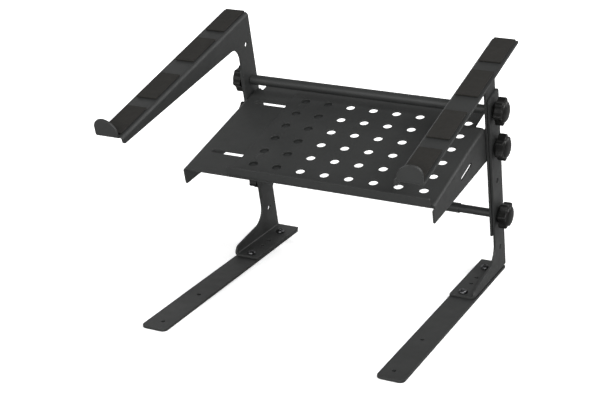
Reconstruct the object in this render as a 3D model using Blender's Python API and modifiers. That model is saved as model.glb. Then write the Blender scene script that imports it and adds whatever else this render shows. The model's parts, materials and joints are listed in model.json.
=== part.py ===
"""Adjustable desktop stand for an audio interface, with a laptop carried above it.

Two flat foot bars each carry a bent leg. A bent arm is bolted inside each leg, and
the pair of arms holds the upper device on rubber pads. Two telescoping crossbars tie
the sides together. Between the arms hangs a tray of two overlapping sheets that
widens with the stand and tilts on the middle pair of star knobs.

Units are metres. X runs left to right, -Y is the front, +Z is up. The origin is on
the floor at the middle of the stand's footprint.
"""
import math

import bmesh
import bpy
from mathutils import Matrix, Vector

# Driving dimensions
LEAN = math.radians(15.0)        # the legs lean forward, so the arms and tray slope forward
GAP = 0.0003                     # clearance between pieces that touch
SHEET = 0.0025                   # legs and arms
BEND_INSIDE = 0.0015             # inside radius of every fold
HALF_WIDTH = 0.1505              # middle of the stand to the outer face of a leg
FOOT_BACK_Y = 0.1780
FOOT_WIDTH = 0.030
FOOT_LENGTH = 0.3245
FOOT_THICK = 0.003
BRACKET_LENGTH = 0.1115          # leg flange along the foot bar
SCREWS_FROM_BACK = (0.0245, 0.102)
SPARES_FROM_BACK = (0.056, 0.0745)
FOOT_HOLES_FROM_BACK = (0.2285, 0.3065)
SCREW_LINE = 0.017               # outer edge of a foot bar to its screws
SMALL_HOLE = 0.0048

HOLE_PITCH = 0.0456              # bolt holes up the legs and arms
BOLT = 0.0060
BOLT_HOLE = 0.0066
LOWER_BOLT_Y = 0.1406            # the lowest knobs, where the leaning frame has its origin
LOWER_BOLT_Z = 0.0799
LEG_BACK = -0.0165               # upright edges, ahead of the bolt line
LEG_FRONT = 0.0160
LEG_TOP = 0.1570
GUSSET_BACK_Z = 0.0253
GUSSET_FRONT_Z = 0.0144

ARM_BACK = -0.0138
ARM_UPRIGHT_FRONT = 0.0177
ARM_BOTTOM = -0.0200
ARM_TOP = 0.2172                 # flange top above the lowest bolt, along the leaning leg
ARM_FRONT = 0.2680               # ahead of the bolt line, along the slope
ARM_WEB_END = 0.2613
ARM_WEB_DEPTH = (0.0277, 0.0090) # at the upright and at the front
ARM_FLANGE = 0.0303
ARM_LIP = 0.0185
PAD_THICK = 0.0015
PAD_WIDTH = 0.0235
PAD_LENGTH = 0.0515
PAD_EDGE = 0.0040                # inner face of the arm to the pads
PAD_BACKS = (-0.0134, 0.0575, 0.1395, 0.2100)

TRAY_SHEET = 0.002
TRAY_LEVEL = 0.0334              # perforated sheet's top above the tray pivot
TRAY_FRONT = 0.1753
SLIDER_FRONT = 0.1730
TRAY_BACK = -0.0153
TRAY_LIP = 0.0095
TRAY_SIDE_DEPTH = (0.0490, 0.0200)
TIE_SLOT = (0.0335, 0.0045)
TIE_SLOT_AT = (0.0790, 0.0180)   # ahead of the pivot and below the sheet's top
DECK_LEFT = -0.0895              # left edge of the perforated sheet
SLIDER_RIGHT = -0.0375           # right edge of the plain sheet under it
EAR_NOTCH = 0.0105
EAR_NOTCH_FRONTS = (0.0184, -0.0040)  # of the perforated sheet and of the plain one
EAR_TOP = 0.0045                 # below the sheet's top
VENT = 0.0100
VENT_ROWS = 6
VENT_COLUMNS = 8
VENT_PITCH = (0.0279, 0.0271)
VENT_FIRST = (-0.0710, 0.0127)
CLAMP_ROWS = (0.44, 4.42)        # clamp studs, in vent rows from the first
CLAMP_HEAD = 0.0090
CLAMP_SLOT = (-0.131, -0.045)
NUT_ACROSS = 0.0100
NUT_HIGH = 0.0050

ROD = 0.0098
SLEEVE = 0.0116
SLEEVE_END = 0.1040
ROD_END = -0.1120
PLUG_LENGTH = 0.0120

KNOB = 0.0312
KNOB_LOBES = 6
KNOB_WAIST = 0.0031
KNOB_CAP = 0.0130
KNOB_GRIP = (0.0028, 0.0124)     # above the leg
KNOB_TOP = 0.0162

ARM_INNER = HALF_WIDTH - 2 * SHEET - GAP
TRAY_HALF = ARM_INNER - GAP
MIDDLE_BOLT = 2 * HOLE_PITCH
UPPER_BOLT = 3 * HOLE_PITCH
FLANGE_BOTTOM = FOOT_THICK + GAP
FLANGE_TOP = FLANGE_BOTTOM + SHEET
HOLE_RADIUS = BOLT_HOLE / 2
BOLT_RADIUS = BOLT / 2

# Outlines are drawn flat and stood up by these turns. Their depth runs along the plane's normal.
ALONG_X = Matrix(((0, 0, 1, 0), (1, 0, 0, 0), (0, 1, 0, 0), (0, 0, 0, 1)))
ALONG_Y = Matrix(((1, 0, 0, 0), (0, 0, -1, 0), (0, 1, 0, 0), (0, 0, 0, 1)))
ALONG_Z = Matrix.Identity(4)

for old in list(bpy.data.objects):
    bpy.data.objects.remove(old, do_unlink=True)


def new_collection(name):
    """Make a collection and link it to the scene."""
    collection = bpy.data.collections.new(name)
    bpy.context.scene.collection.children.link(collection)
    return collection


PARTS = new_collection("audio_interface_stand")
CUTTERS = new_collection("cutters")


def material(name, colour, roughness, metallic=0.0):
    """Return a plain Principled material."""
    made = bpy.data.materials.new(name)
    made.use_nodes = True
    shader = made.node_tree.nodes["Principled BSDF"]
    shader.inputs["Base Color"].default_value = (*colour, 1.0)
    shader.inputs["Roughness"].default_value = roughness
    shader.inputs["Metallic"].default_value = metallic
    return made


COATED = material("charcoal_powder_coat", (0.040, 0.043, 0.043), 0.55)
RUBBER = material("matt_black_rubber", (0.020, 0.018, 0.016), 0.90)
PLASTIC = material("gloss_black_plastic", (0.012, 0.012, 0.012), 0.25)
ZINC = material("black_zinc_steel", (0.060, 0.060, 0.062), 0.40, 1.0)


def frame(name, place, parent=None):
    """Make an empty that carries other pieces."""
    empty = bpy.data.objects.new(name, None)
    empty.empty_display_size = 0.02
    PARTS.objects.link(empty)
    empty.parent = parent
    empty.matrix_local = place
    return empty


LEANING_PLACE = Matrix.Translation((0, LOWER_BOLT_Y, LOWER_BOLT_Z)) @ Matrix.Rotation(LEAN, 4, "X")
STAND = frame("stand", Matrix.Identity(4))
LEFT_SIDE = frame("left_side", Matrix.Identity(4), STAND)
LEANING = frame("leaning_frame", LEANING_PLACE, STAND)
LEFT_LEANING = frame("left_leaning_frame", LEANING_PLACE, LEFT_SIDE)
TRAY_PIVOT = frame("tray_pivot", Matrix.Translation((0, 0, MIDDLE_BOLT)), LEANING)
TRAY_SLIDE = frame("tray_slide", Matrix.Identity(4), TRAY_PIVOT)


def place_object(name, mesh, parent, place, finish=None):
    """Link a mesh object under its parent, among the parts or, without a finish, the cutters."""
    made = bpy.data.objects.new(name, mesh)
    if finish:
        PARTS.objects.link(made)
        mesh.materials.append(finish)
    else:
        CUTTERS.objects.link(made)
        made.hide_render = True
        made.display_type = "WIRE"
    made.parent = parent
    made.matrix_local = place
    return made


def rounded(corners, steps=4):
    """Outline through (across, up, radius) corners, each rounded to its radius."""
    outline = []
    for index, (across, up, radius) in enumerate(corners):
        corner = Vector((across, up))
        if radius == 0:
            outline.append(corner)
            continue
        before = (Vector(corners[index - 1][:2]) - corner).normalized()
        after = (Vector(corners[(index + 1) % len(corners)][:2]) - corner).normalized()
        half = before.angle(after) / 2
        centre = corner + (before + after).normalized() * radius / math.sin(half)
        first = corner + before * radius / math.tan(half) - centre
        sweep = first.angle_signed(corner + after * radius / math.tan(half) - centre)
        for step in range(steps + 1):
            turn = Matrix.Rotation(-sweep * step / steps, 2)
            outline.append(centre + turn @ first)
    return outline


def folded_section(path, thick):
    """Outline of a folded sheet, from the square corners of its middle line."""
    near = BEND_INSIDE
    far = BEND_INSIDE + thick
    line = [Vector(point) for point in path]
    sides = []
    for offset, reverse in ((thick / 2, False), (-thick / 2, True)):
        corners = []
        for index, point in enumerate(line):
            into = (point - line[index - 1]).normalized() if index else None
            out = (line[index + 1] - point).normalized() if index + 1 < len(line) else None
            first = into or out
            last = out or into
            shift = Vector((-first.y, first.x)) * offset
            radius = 0
            if into and out:
                turning_left = first.cross(last) > 0
                shift += Vector((-last.y, last.x)) * offset
                radius = near if turning_left == (offset > 0) else far
            corners.append((point.x + shift.x, point.y + shift.y, radius))
        sides.append(corners[::-1] if reverse else corners)
    return rounded(sides[0] + sides[1])


def prism(name, outline, low, high, plane, parent, finish=None):
    """Fill an outline and give it depth from low to high along the plane's normal."""
    curve = bpy.data.curves.new(name, "CURVE")
    curve.dimensions = "2D"
    curve.fill_mode = "BOTH"
    curve.extrude = (high - low) / 2
    spline = curve.splines.new("POLY")
    spline.points.add(len(outline) - 1)
    for point, (across, up) in zip(spline.points, outline):
        point.co = (across, up, 0, 1)
    spline.use_cyclic_u = True
    holder = bpy.data.objects.new(name, curve)
    CUTTERS.objects.link(holder)
    bpy.context.view_layer.update()
    graph = bpy.context.evaluated_depsgraph_get()
    mesh = bpy.data.meshes.new_from_object(holder.evaluated_get(graph))
    bpy.data.objects.remove(holder)
    work = bmesh.new()
    work.from_mesh(mesh)
    bmesh.ops.remove_doubles(work, verts=work.verts, dist=0.00001)
    bmesh.ops.recalc_face_normals(work, faces=work.faces)
    work.to_mesh(mesh)
    work.free()
    return place_object(name, mesh, parent, plane @ Matrix.Translation((0, 0, (low + high) / 2)), finish)


def turned(name, profile, parent, place, finish=None, steps=24):
    """Turn a (radius, height) profile, listed top to bottom on its outside, about Z."""
    mesh = bpy.data.meshes.new(name)
    work = bmesh.new()
    corners = [work.verts.new((radius, 0, height)) for radius, height in profile]
    for one, two in zip(corners, corners[1:]):
        work.edges.new((one, two))
    work.to_mesh(mesh)
    work.free()
    made = place_object(name, mesh, parent, place, finish)
    screw = made.modifiers.new("turn", "SCREW")
    screw.steps = steps
    screw.render_steps = steps
    screw.merge_threshold = 0.00001
    screw.use_merge_vertices = True
    return made


def pins(name, centres, diameter, low, high, plane, parent, steps=20):
    """One cutter made of round pins, all along the plane's normal."""
    mesh = bpy.data.meshes.new(name)
    work = bmesh.new()
    for across, up in centres:
        at = Matrix.Translation((across, up, (low + high) / 2))
        bmesh.ops.create_cone(work, cap_ends=True, segments=steps, radius1=diameter / 2,
                              radius2=diameter / 2, depth=high - low, matrix=at)
    work.to_mesh(mesh)
    work.free()
    return place_object(name, mesh, parent, plane)


def block(name, low, high, parent, finish=None):
    """Box between two corners."""
    mesh = bpy.data.meshes.new(name)
    work = bmesh.new()
    size = Matrix.Diagonal((*(b - a for a, b in zip(low, high)), 1))
    middle = Matrix.Translation([(a + b) / 2 for a, b in zip(low, high)])
    bmesh.ops.create_cube(work, size=1.0, matrix=middle @ size)
    work.to_mesh(mesh)
    work.free()
    return place_object(name, mesh, parent, Matrix.Identity(4), finish)


def combine(target, tool, operation="DIFFERENCE"):
    """Join, cut or trim a piece with a cutter."""
    boolean = target.modifiers.new(operation.lower(), "BOOLEAN")
    boolean.operation = operation
    boolean.solver = "EXACT"
    boolean.object = tool


def smooth(made, angle=35):
    """Shade a round piece smooth."""
    made.data.shade_smooth()
    made.data.set_sharp_from_angle(angle=math.radians(angle))


def round_slot(centre, length, width):
    """Outline of a slot with round ends, long across."""
    x, y = centre
    half = length / 2
    end = width / 2
    radius = end * 0.999
    return rounded([(x - half, y - end, radius), (x + half, y - end, radius),
                    (x + half, y + end, radius), (x - half, y + end, radius)])


def on_side(side, low, high):
    """A span along X, mirrored to the left when side is -1."""
    return (low, high) if side > 0 else (-high, -low)


def make_foot_bar(label, side, parent):
    """Flat bar on the floor, with rounded front corners and holes."""
    low, high = on_side(side, HALF_WIDTH - FOOT_WIDTH, HALF_WIDTH)
    front = FOOT_BACK_Y - FOOT_LENGTH
    outline = rounded([(low, front, 0.006), (high, front, 0.006), (high, FOOT_BACK_Y, 0.002),
                       (low, FOOT_BACK_Y, 0.002)])
    bar = prism(f"{label}_foot_bar", outline, 0, FOOT_THICK, ALONG_Z, parent, COATED)
    across = side * (HALF_WIDTH - SCREW_LINE)
    screws = [(across, FOOT_BACK_Y - back) for back in SCREWS_FROM_BACK]
    combine(bar, pins(f"{label}_foot_screw_holes", screws, BOLT_HOLE, -0.01, 0.01, ALONG_Z, parent))
    plain = [(across, FOOT_BACK_Y - back) for back in FOOT_HOLES_FROM_BACK]
    combine(bar, pins(f"{label}_foot_plain_holes", plain, SMALL_HOLE, -0.01, 0.01, ALONG_Z, parent, 16))


def from_leaning(forward, up):
    """World (Y, Z) of a point given ahead of the bolt line and up the lean."""
    return (LOWER_BOLT_Y - forward * math.cos(LEAN) - up * math.sin(LEAN),
            LOWER_BOLT_Z - forward * math.sin(LEAN) + up * math.cos(LEAN))


def make_leg(label, side, parent, leaning):
    """Bent leg: a flange on the foot bar, a gusset, and a leaning upright with bolt holes."""
    web = side * (HALF_WIDTH - SHEET / 2)
    path = [(side * (HALF_WIDTH - FOOT_WIDTH), FLANGE_BOTTOM + SHEET / 2),
            (web, FLANGE_BOTTOM + SHEET / 2), (web, 0.26)]
    front = FOOT_BACK_Y - BRACKET_LENGTH
    leg = prism(f"{label}_leg", folded_section(path, SHEET), -FOOT_BACK_Y, -front, ALONG_Y, parent, COATED)

    crook_drop = (LOWER_BOLT_Z - LEG_FRONT * math.sin(LEAN) - GUSSET_BACK_Z) / math.cos(LEAN)
    heel = from_leaning(LEG_BACK, -crook_drop - 0.028)
    corners = [(front, 0, 0), (front, GUSSET_FRONT_Z, 0.008), (*from_leaning(LEG_FRONT, -crook_drop), 0.018),
               (*from_leaning(LEG_FRONT, LEG_TOP), 0.005), (*from_leaning(LEG_BACK, LEG_TOP), 0.005),
               (*heel, 0.004), (FOOT_BACK_Y, heel[1] - 0.004, 0), (FOOT_BACK_Y, 0, 0)]
    low, high = on_side(side, 0.10, 0.20)
    outline = prism(f"{label}_leg_outline", rounded(corners, 5), low, high, ALONG_X, parent)
    combine(leg, outline, "INTERSECT")
    bolts = [(0, HOLE_PITCH * step) for step in range(-1, 4)]
    combine(leg, pins(f"{label}_leg_bolt_holes", bolts, BOLT_HOLE, low, high, ALONG_X, leaning))
    across = side * (HALF_WIDTH - SCREW_LINE)
    screws = [(across, FOOT_BACK_Y - back) for back in SCREWS_FROM_BACK]
    combine(leg, pins(f"{label}_leg_screw_holes", screws, BOLT_HOLE, 0, 0.02, ALONG_Z, parent))
    spares = [(across, FOOT_BACK_Y - back) for back in SPARES_FROM_BACK]
    combine(leg, pins(f"{label}_leg_spare_holes", spares, SMALL_HOLE, 0, 0.02, ALONG_Z, parent, 16))


def make_arm(label, side, leaning):
    """Bent arm: an upright inside the leg, a web that tapers forward, a flange and an arched lip."""
    web = side * (ARM_INNER + SHEET / 2)
    edge = side * (ARM_INNER + ARM_FLANGE)
    middle = ARM_TOP - SHEET / 2
    section = folded_section([(web, -0.03), (web, middle), (edge, middle)], SHEET)
    lip_middle = ARM_FRONT - SHEET / 2
    flat_front = lip_middle - BEND_INSIDE - SHEET / 2 - 0.0003
    arm = prism(f"{label}_arm", section, ARM_BACK, flat_front, ALONG_Y, leaning, COATED)

    below_flange = ARM_TOP - SHEET - 0.0004
    over = ARM_TOP + 0.001
    corners = [(-ARM_BACK, over, 0), (-ARM_BACK, ARM_BOTTOM, 0.001),
               (-ARM_UPRIGHT_FRONT, ARM_BOTTOM, 0.001),
               (-ARM_UPRIGHT_FRONT, ARM_TOP - ARM_WEB_DEPTH[0], 0.019),
               (-ARM_WEB_END, ARM_TOP - ARM_WEB_DEPTH[1], 0.003), (-ARM_WEB_END, below_flange, 0),
               (-ARM_FRONT - 0.001, below_flange, 0), (-ARM_FRONT - 0.001, over, 0)]
    low, high = on_side(side, 0.13, 0.19)
    outline = prism(f"{label}_arm_outline", rounded(corners, 5), low, high, ALONG_X, leaning)
    combine(arm, outline, "INTERSECT")

    lip_path = [(-ARM_WEB_END + 0.001, middle), (-lip_middle, middle), (-lip_middle, ARM_TOP + 0.03)]
    relief = ARM_INNER + 0.0032
    low, high = on_side(side, relief, ARM_INNER + ARM_FLANGE)
    lip = prism(f"{label}_arm_lip", folded_section(lip_path, SHEET), low, high, ALONG_X, leaning)
    radius = (high - low) / 2
    arch_top = ARM_TOP + ARM_LIP
    arch = rounded([(low, ARM_TOP - 0.01, 0), (high, ARM_TOP - 0.01, 0), (high, arch_top, radius * 0.99),
                    (low, arch_top, radius * 0.99)], 8)
    combine(lip, prism(f"{label}_lip_arch", arch, 0.24, 0.30, ALONG_Y, leaning), "INTERSECT")
    combine(arm, lip, "UNION")
    low, high = on_side(side, 0.13, relief)
    cut = block(f"{label}_lip_relief", (low, -0.30, ARM_TOP - 0.02), (high, -ARM_WEB_END, over), leaning)
    combine(arm, cut)
    bolts = [(0, HOLE_PITCH * step) for step in range(5)]
    low, high = on_side(side, 0.13, 0.16)
    combine(arm, pins(f"{label}_arm_bolt_holes", bolts, BOLT_HOLE, low, high, ALONG_X, leaning))


def make_arm_pads(label, side, leaning):
    """Four rubber pads glued along the top of an arm."""
    inner = ARM_INNER + PAD_EDGE
    low, high = on_side(side, inner, inner + PAD_WIDTH)
    floor = ARM_TOP + GAP
    for number, back in enumerate(PAD_BACKS, start=1):
        pad = block(f"{label}_arm_pad_{number}", (low, -back - PAD_LENGTH, floor),
                    (high, -back, floor + PAD_THICK), leaning, RUBBER)
        edge = pad.modifiers.new("edge", "BEVEL")
        edge.width = 0.0004
        edge.segments = 1


def make_foot_screws(label, side, parent):
    """Button-head screws that hold a leg on its foot bar."""
    base = FLANGE_TOP + GAP
    crown = base + 0.0033
    profile = [(0, crown - 0.0017), (0.0019, crown - 0.0017), (0.0019, crown), (0.0030, crown - 0.0001),
               (0.0042, crown - 0.0009), (0.0049, crown - 0.0019), (0.00525, base + 0.0005),
               (0.00525, base), (BOLT_RADIUS, base), (BOLT_RADIUS, 0.0005), (0, 0.0005)]
    for name, back in zip(("back", "front"), SCREWS_FROM_BACK):
        place = Matrix.Translation((side * (HALF_WIDTH - SCREW_LINE), FOOT_BACK_Y - back, 0))
        smooth(turned(f"{label}_foot_screw_{name}", profile, parent, place, ZINC, 18))


def make_knob(label, side, parent, up, reach, turn):
    """Star knob and its steel stud, in one bolt hole of the leaning frame."""
    # The knob's own +Z points away from the stand.
    outward = Matrix(((0, 0, side, 0), (side, 0, 0, 0), (0, 1, 0, 0), (0, 0, 0, 1)))
    turned_lobes = Matrix.Rotation(math.radians(turn), 4, "Z")
    place = Matrix.Translation((side * HALF_WIDTH, 0, up)) @ outward @ turned_lobes
    grip_low, grip_high = KNOB_GRIP
    per_lobe = 10
    outline = []
    for step in range(KNOB_LOBES * per_lobe):
        angle = 2 * math.pi * step / (KNOB_LOBES * per_lobe)
        wave = (1 + math.cos(KNOB_LOBES * angle)) / 2
        radius = KNOB / 2 - KNOB_WAIST * (1 - wave ** 1.6)
        outline.append((radius * math.cos(angle), radius * math.sin(angle)))
    knob = prism(f"{label}_knob", outline, grip_low, grip_high, place, parent, PLASTIC)
    core = [(0, KNOB_TOP), (KNOB_CAP * 0.40, KNOB_TOP - 0.0004), (KNOB_CAP * 0.72, KNOB_TOP - 0.0013),
            (KNOB_CAP * 0.92, KNOB_TOP - 0.0025), (KNOB_CAP, grip_high), (KNOB_CAP, grip_high - 0.001),
            (0.0090, grip_low + 0.001), (0.0090, GAP), (0, GAP)]
    combine(knob, turned(f"{label}_knob_core", core, parent, place), "UNION")
    depth = grip_low + 0.0055
    bore = [(0, depth), (HOLE_RADIUS, depth), (HOLE_RADIUS, -0.002), (0, -0.002)]
    combine(knob, turned(f"{label}_knob_bore", bore, parent, place, None, 20))
    smooth(knob, 30)
    tip = depth - GAP
    stud = [(0, tip), (BOLT_RADIUS, tip), (BOLT_RADIUS, 0.0008 - reach), (BOLT_RADIUS - 0.0008, -reach),
            (0, -reach)]
    smooth(turned(f"{label}_stud", stud, parent, place, ZINC, 16))


def make_crossbar(label, up):
    """Telescoping crossbar: a rod from the right arm that slides in a plugged sleeve from the left."""
    end = ARM_INNER - GAP
    # The crossbar's own +Z points to the right.
    place = Matrix.Translation((0, 0, up)) @ Matrix.Rotation(math.pi / 2, 4, "Y")
    half = ROD / 2
    tapped = end - 0.022
    rod = [(HOLE_RADIUS, end), (half - 0.0005, end), (half, end - 0.0005), (half, ROD_END + 0.0005),
           (half - 0.0005, ROD_END), (0, ROD_END), (0, tapped), (HOLE_RADIUS, tapped), (HOLE_RADIUS, end)]
    smooth(turned(f"{label}_crossbar_rod", rod, LEANING, place, COATED, 24))
    bore = half + GAP
    outer = SLEEVE / 2
    sleeve = [(bore, SLEEVE_END), (outer - 0.0003, SLEEVE_END), (outer, SLEEVE_END - 0.0003), (outer, -end),
              (bore, -end), (bore, SLEEVE_END)]
    smooth(turned(f"{label}_crossbar_sleeve", sleeve, LEFT_LEANING, place, COATED, 24))
    plug_end = PLUG_LENGTH - end
    plug = [(HOLE_RADIUS, plug_end), (half, plug_end), (half, -end), (HOLE_RADIUS, -end),
            (HOLE_RADIUS, plug_end)]
    smooth(turned(f"{label}_crossbar_plug", plug, LEFT_LEANING, place, ZINC, 24))


def tray_side(name, front, parent, low, high):
    """Trimmer for a tray sheet, seen from the side: ears at the back, flanges that taper forward."""
    ear = 0.015
    back_low = TRAY_LEVEL - TRAY_SIDE_DEPTH[0]
    front_low = TRAY_LEVEL - TRAY_SIDE_DEPTH[1]
    over = TRAY_LEVEL + 0.001
    corners = [(-TRAY_BACK, over, 0), (-TRAY_BACK, back_low, ear), (-front, front_low, 0.002),
               (-front, over, 0)]
    return prism(name, rounded(corners, 6), low, high, ALONG_X, parent)


def open_ear(sheet, label, side, parent):
    """Cut the sheet away behind the bend, so that the ear stands alone beside the arm."""
    floor = TRAY_LEVEL - 0.012
    start = -EAR_NOTCH_FRONTS[0 if side > 0 else 1]
    low, high = on_side(side, TRAY_HALF - EAR_NOTCH, TRAY_HALF - TRAY_SHEET)
    combine(sheet, block(f"{label}_ear_notch", (low, start, floor), (high, 0.05, 0.05), parent))
    low, high = on_side(side, TRAY_HALF - EAR_NOTCH, TRAY_HALF + 0.01)
    edge = TRAY_LEVEL - EAR_TOP
    combine(sheet, block(f"{label}_ear_top", (low, start, edge), (high, 0.05, 0.05), parent))


def finish_tray_side(sheet, label, side, parent):
    """Pivot hole, cable-tie slot and ear notch of a tray sheet."""
    low, high = on_side(side, 0.13, 0.16)
    combine(sheet, pins(f"{label}_ear_bolt_hole", [(0, 0)], BOLT_HOLE, low, high, ALONG_X, parent))
    slot = round_slot((-TIE_SLOT_AT[0], TRAY_LEVEL - TIE_SLOT_AT[1]), *TIE_SLOT)
    combine(sheet, prism(f"{label}_tie_slot", slot, low, high, ALONG_X, parent))
    open_ear(sheet, label, side, parent)
    inner = TRAY_HALF - TRAY_SHEET - GAP
    start = inner - NUT_HIGH if side > 0 else -inner
    place = Matrix.Translation((start, 0, 0)) @ Matrix.Rotation(math.pi / 2, 4, "Y")
    make_nut(f"{label}_ear_nut", place, parent)


def make_nut(name, place, parent):
    """Hexagon nut that stands on its own XY plane."""
    radius = NUT_ACROSS / 2 / math.cos(math.pi / 6)
    corners = [(radius * math.cos(math.pi / 3 * step), radius * math.sin(math.pi / 3 * step))
               for step in range(6)]
    nut = prism(name, corners, 0, NUT_HIGH, place, parent, ZINC)
    bore = [(0, 0.02), (HOLE_RADIUS, 0.02), (HOLE_RADIUS, -0.01), (0, -0.01)]
    combine(nut, turned(f"{name}_bore", bore, parent, place, None, 16))


def make_tray_deck():
    """Perforated sheet: side flange on the right, lip turned up at the front, tongue at the back."""
    middle = TRAY_LEVEL - TRAY_SHEET / 2
    wall = TRAY_HALF - TRAY_SHEET / 2
    lip_middle = TRAY_FRONT - TRAY_SHEET / 2
    section = folded_section([(DECK_LEFT, middle), (wall, middle), (wall, -0.04)], TRAY_SHEET)
    flat_front = lip_middle - BEND_INSIDE - TRAY_SHEET / 2
    deck = prism("tray_deck", section, TRAY_BACK, TRAY_FRONT, ALONG_Y, TRAY_PIVOT, COATED)
    combine(deck, tray_side("deck_side_outline", TRAY_FRONT, TRAY_PIVOT, -0.10, 0.16), "INTERSECT")
    corner = TRAY_HALF - BEND_INSIDE - TRAY_SHEET
    edge = TRAY_LEVEL - EAR_TOP
    combine(deck, block("deck_lip_clearance", (-0.10, -0.19, edge), (0.16, -flat_front, 0.05), TRAY_PIVOT))
    lip_path = [(-flat_front + 0.002, middle), (-lip_middle, middle), (-lip_middle, TRAY_LEVEL + TRAY_LIP)]
    lip = prism("deck_lip", folded_section(lip_path, TRAY_SHEET), DECK_LEFT, corner, ALONG_X, TRAY_PIVOT)
    combine(deck, lip, "UNION")
    vents = []
    for column in range(VENT_COLUMNS):
        for row in range(VENT_ROWS):
            vents.append((VENT_FIRST[0] + column * VENT_PITCH[0], -VENT_FIRST[1] - row * VENT_PITCH[1]))
    low = TRAY_LEVEL - 0.01
    high = TRAY_LEVEL + 0.01
    combine(deck, pins("deck_vents", vents, VENT, low, high, ALONG_Z, TRAY_PIVOT, 12))
    seats = [(VENT_FIRST[0], -clamp_forward(row)) for row in CLAMP_ROWS]
    combine(deck, pins("deck_stud_seats", seats, CLAMP_HEAD + 2 * GAP, low, high, ALONG_Z, TRAY_PIVOT))
    finish_tray_side(deck, "right", 1, TRAY_PIVOT)


def clamp_forward(row):
    """Distance of a clamp stud ahead of the pivot."""
    return VENT_FIRST[1] + row * VENT_PITCH[1]


def make_tray_slider():
    """Plain sheet under the deck, with a side flange on the left and two slots for the clamp studs."""
    under = TRAY_LEVEL - TRAY_SHEET - GAP
    middle = under - TRAY_SHEET / 2
    wall = TRAY_SHEET / 2 - TRAY_HALF
    section = folded_section([(wall, -0.04), (wall, middle), (SLIDER_RIGHT, middle)], TRAY_SHEET)
    slider = prism("tray_slider", section, TRAY_BACK, SLIDER_FRONT, ALONG_Y, TRAY_SLIDE, COATED)
    combine(slider, tray_side("slider_side_outline", SLIDER_FRONT, TRAY_SLIDE, -0.16, 0.0), "INTERSECT")
    low = TRAY_LEVEL - 0.01
    high = TRAY_LEVEL + 0.01
    length = CLAMP_SLOT[1] - CLAMP_SLOT[0]
    for name, row in zip(("back", "front"), CLAMP_ROWS):
        slot = round_slot((CLAMP_SLOT[0] + length / 2, -clamp_forward(row)), length, BOLT_HOLE)
        combine(slider, prism(f"slider_{name}_slot", slot, low, high, ALONG_Z, TRAY_SLIDE))
    finish_tray_side(slider, "left", -1, TRAY_SLIDE)


def make_tray_clamps():
    """Studs pressed flush in the deck, each with a washer and a nut under the slider."""
    top = TRAY_LEVEL - 0.0001
    step = top - 0.0016
    end = TRAY_LEVEL - 0.0165
    floor = TRAY_LEVEL - 2 * TRAY_SHEET - 2 * GAP
    washer_low = floor - 0.0012
    for name, row in zip(("back", "front"), CLAMP_ROWS):
        place = Matrix.Translation((VENT_FIRST[0], -clamp_forward(row), 0))
        stud = [(0, top), (CLAMP_HEAD / 2, top), (CLAMP_HEAD / 2, step), (BOLT_RADIUS, step),
                (BOLT_RADIUS, end + 0.0007), (BOLT_RADIUS - 0.0007, end), (0, end)]
        smooth(turned(f"tray_clamp_stud_{name}", stud, TRAY_PIVOT, place, ZINC, 20))
        ring = [(HOLE_RADIUS, floor), (0.008, floor), (0.008, washer_low), (HOLE_RADIUS, washer_low),
                (HOLE_RADIUS, floor)]
        smooth(turned(f"tray_clamp_washer_{name}", ring, TRAY_PIVOT, place, ZINC, 20))
        nut_place = place @ Matrix.Translation((0, 0, washer_low - GAP - NUT_HIGH))
        make_nut(f"tray_clamp_nut_{name}", nut_place, TRAY_PIVOT)


for label, side, parent, leaning in (("right", 1, STAND, LEANING), ("left", -1, LEFT_SIDE, LEFT_LEANING)):
    make_foot_bar(label, side, parent)
    make_leg(label, side, parent, leaning)
    make_arm(label, side, leaning)
    make_arm_pads(label, side, leaning)
    make_foot_screws(label, side, parent)
    end_reach = 0.0245 if side > 0 else 0.0175
    make_knob(f"{label}_upper", side, leaning, UPPER_BOLT, end_reach, 0)
    make_knob(f"{label}_tray", side, leaning, MIDDLE_BOLT, 0.0150, 15)
    make_knob(f"{label}_lower", side, leaning, 0, end_reach, 40)

make_crossbar("upper", UPPER_BOLT)
make_crossbar("lower", 0)
make_tray_deck()
make_tray_slider()
make_tray_clamps()
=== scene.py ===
"""Adjustable desktop stand for an audio interface, with arms above it for a laptop."""
import json
import math

import bmesh
import bpy
from mathutils import Matrix, Vector


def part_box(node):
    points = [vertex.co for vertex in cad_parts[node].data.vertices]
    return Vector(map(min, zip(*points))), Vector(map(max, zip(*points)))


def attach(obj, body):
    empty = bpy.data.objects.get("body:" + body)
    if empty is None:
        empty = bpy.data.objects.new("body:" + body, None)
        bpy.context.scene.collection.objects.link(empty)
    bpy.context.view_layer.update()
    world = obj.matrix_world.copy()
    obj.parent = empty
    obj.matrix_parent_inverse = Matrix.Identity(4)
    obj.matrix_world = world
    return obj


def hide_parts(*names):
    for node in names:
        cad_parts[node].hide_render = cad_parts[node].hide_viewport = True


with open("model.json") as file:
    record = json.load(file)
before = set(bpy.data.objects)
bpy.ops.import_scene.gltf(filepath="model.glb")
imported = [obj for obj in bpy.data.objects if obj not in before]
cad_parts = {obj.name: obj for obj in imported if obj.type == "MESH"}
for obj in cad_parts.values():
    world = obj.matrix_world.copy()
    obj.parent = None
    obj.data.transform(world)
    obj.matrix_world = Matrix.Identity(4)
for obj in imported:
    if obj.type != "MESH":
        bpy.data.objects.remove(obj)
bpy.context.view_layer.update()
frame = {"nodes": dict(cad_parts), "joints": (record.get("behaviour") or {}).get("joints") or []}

scene = bpy.context.scene


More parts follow.
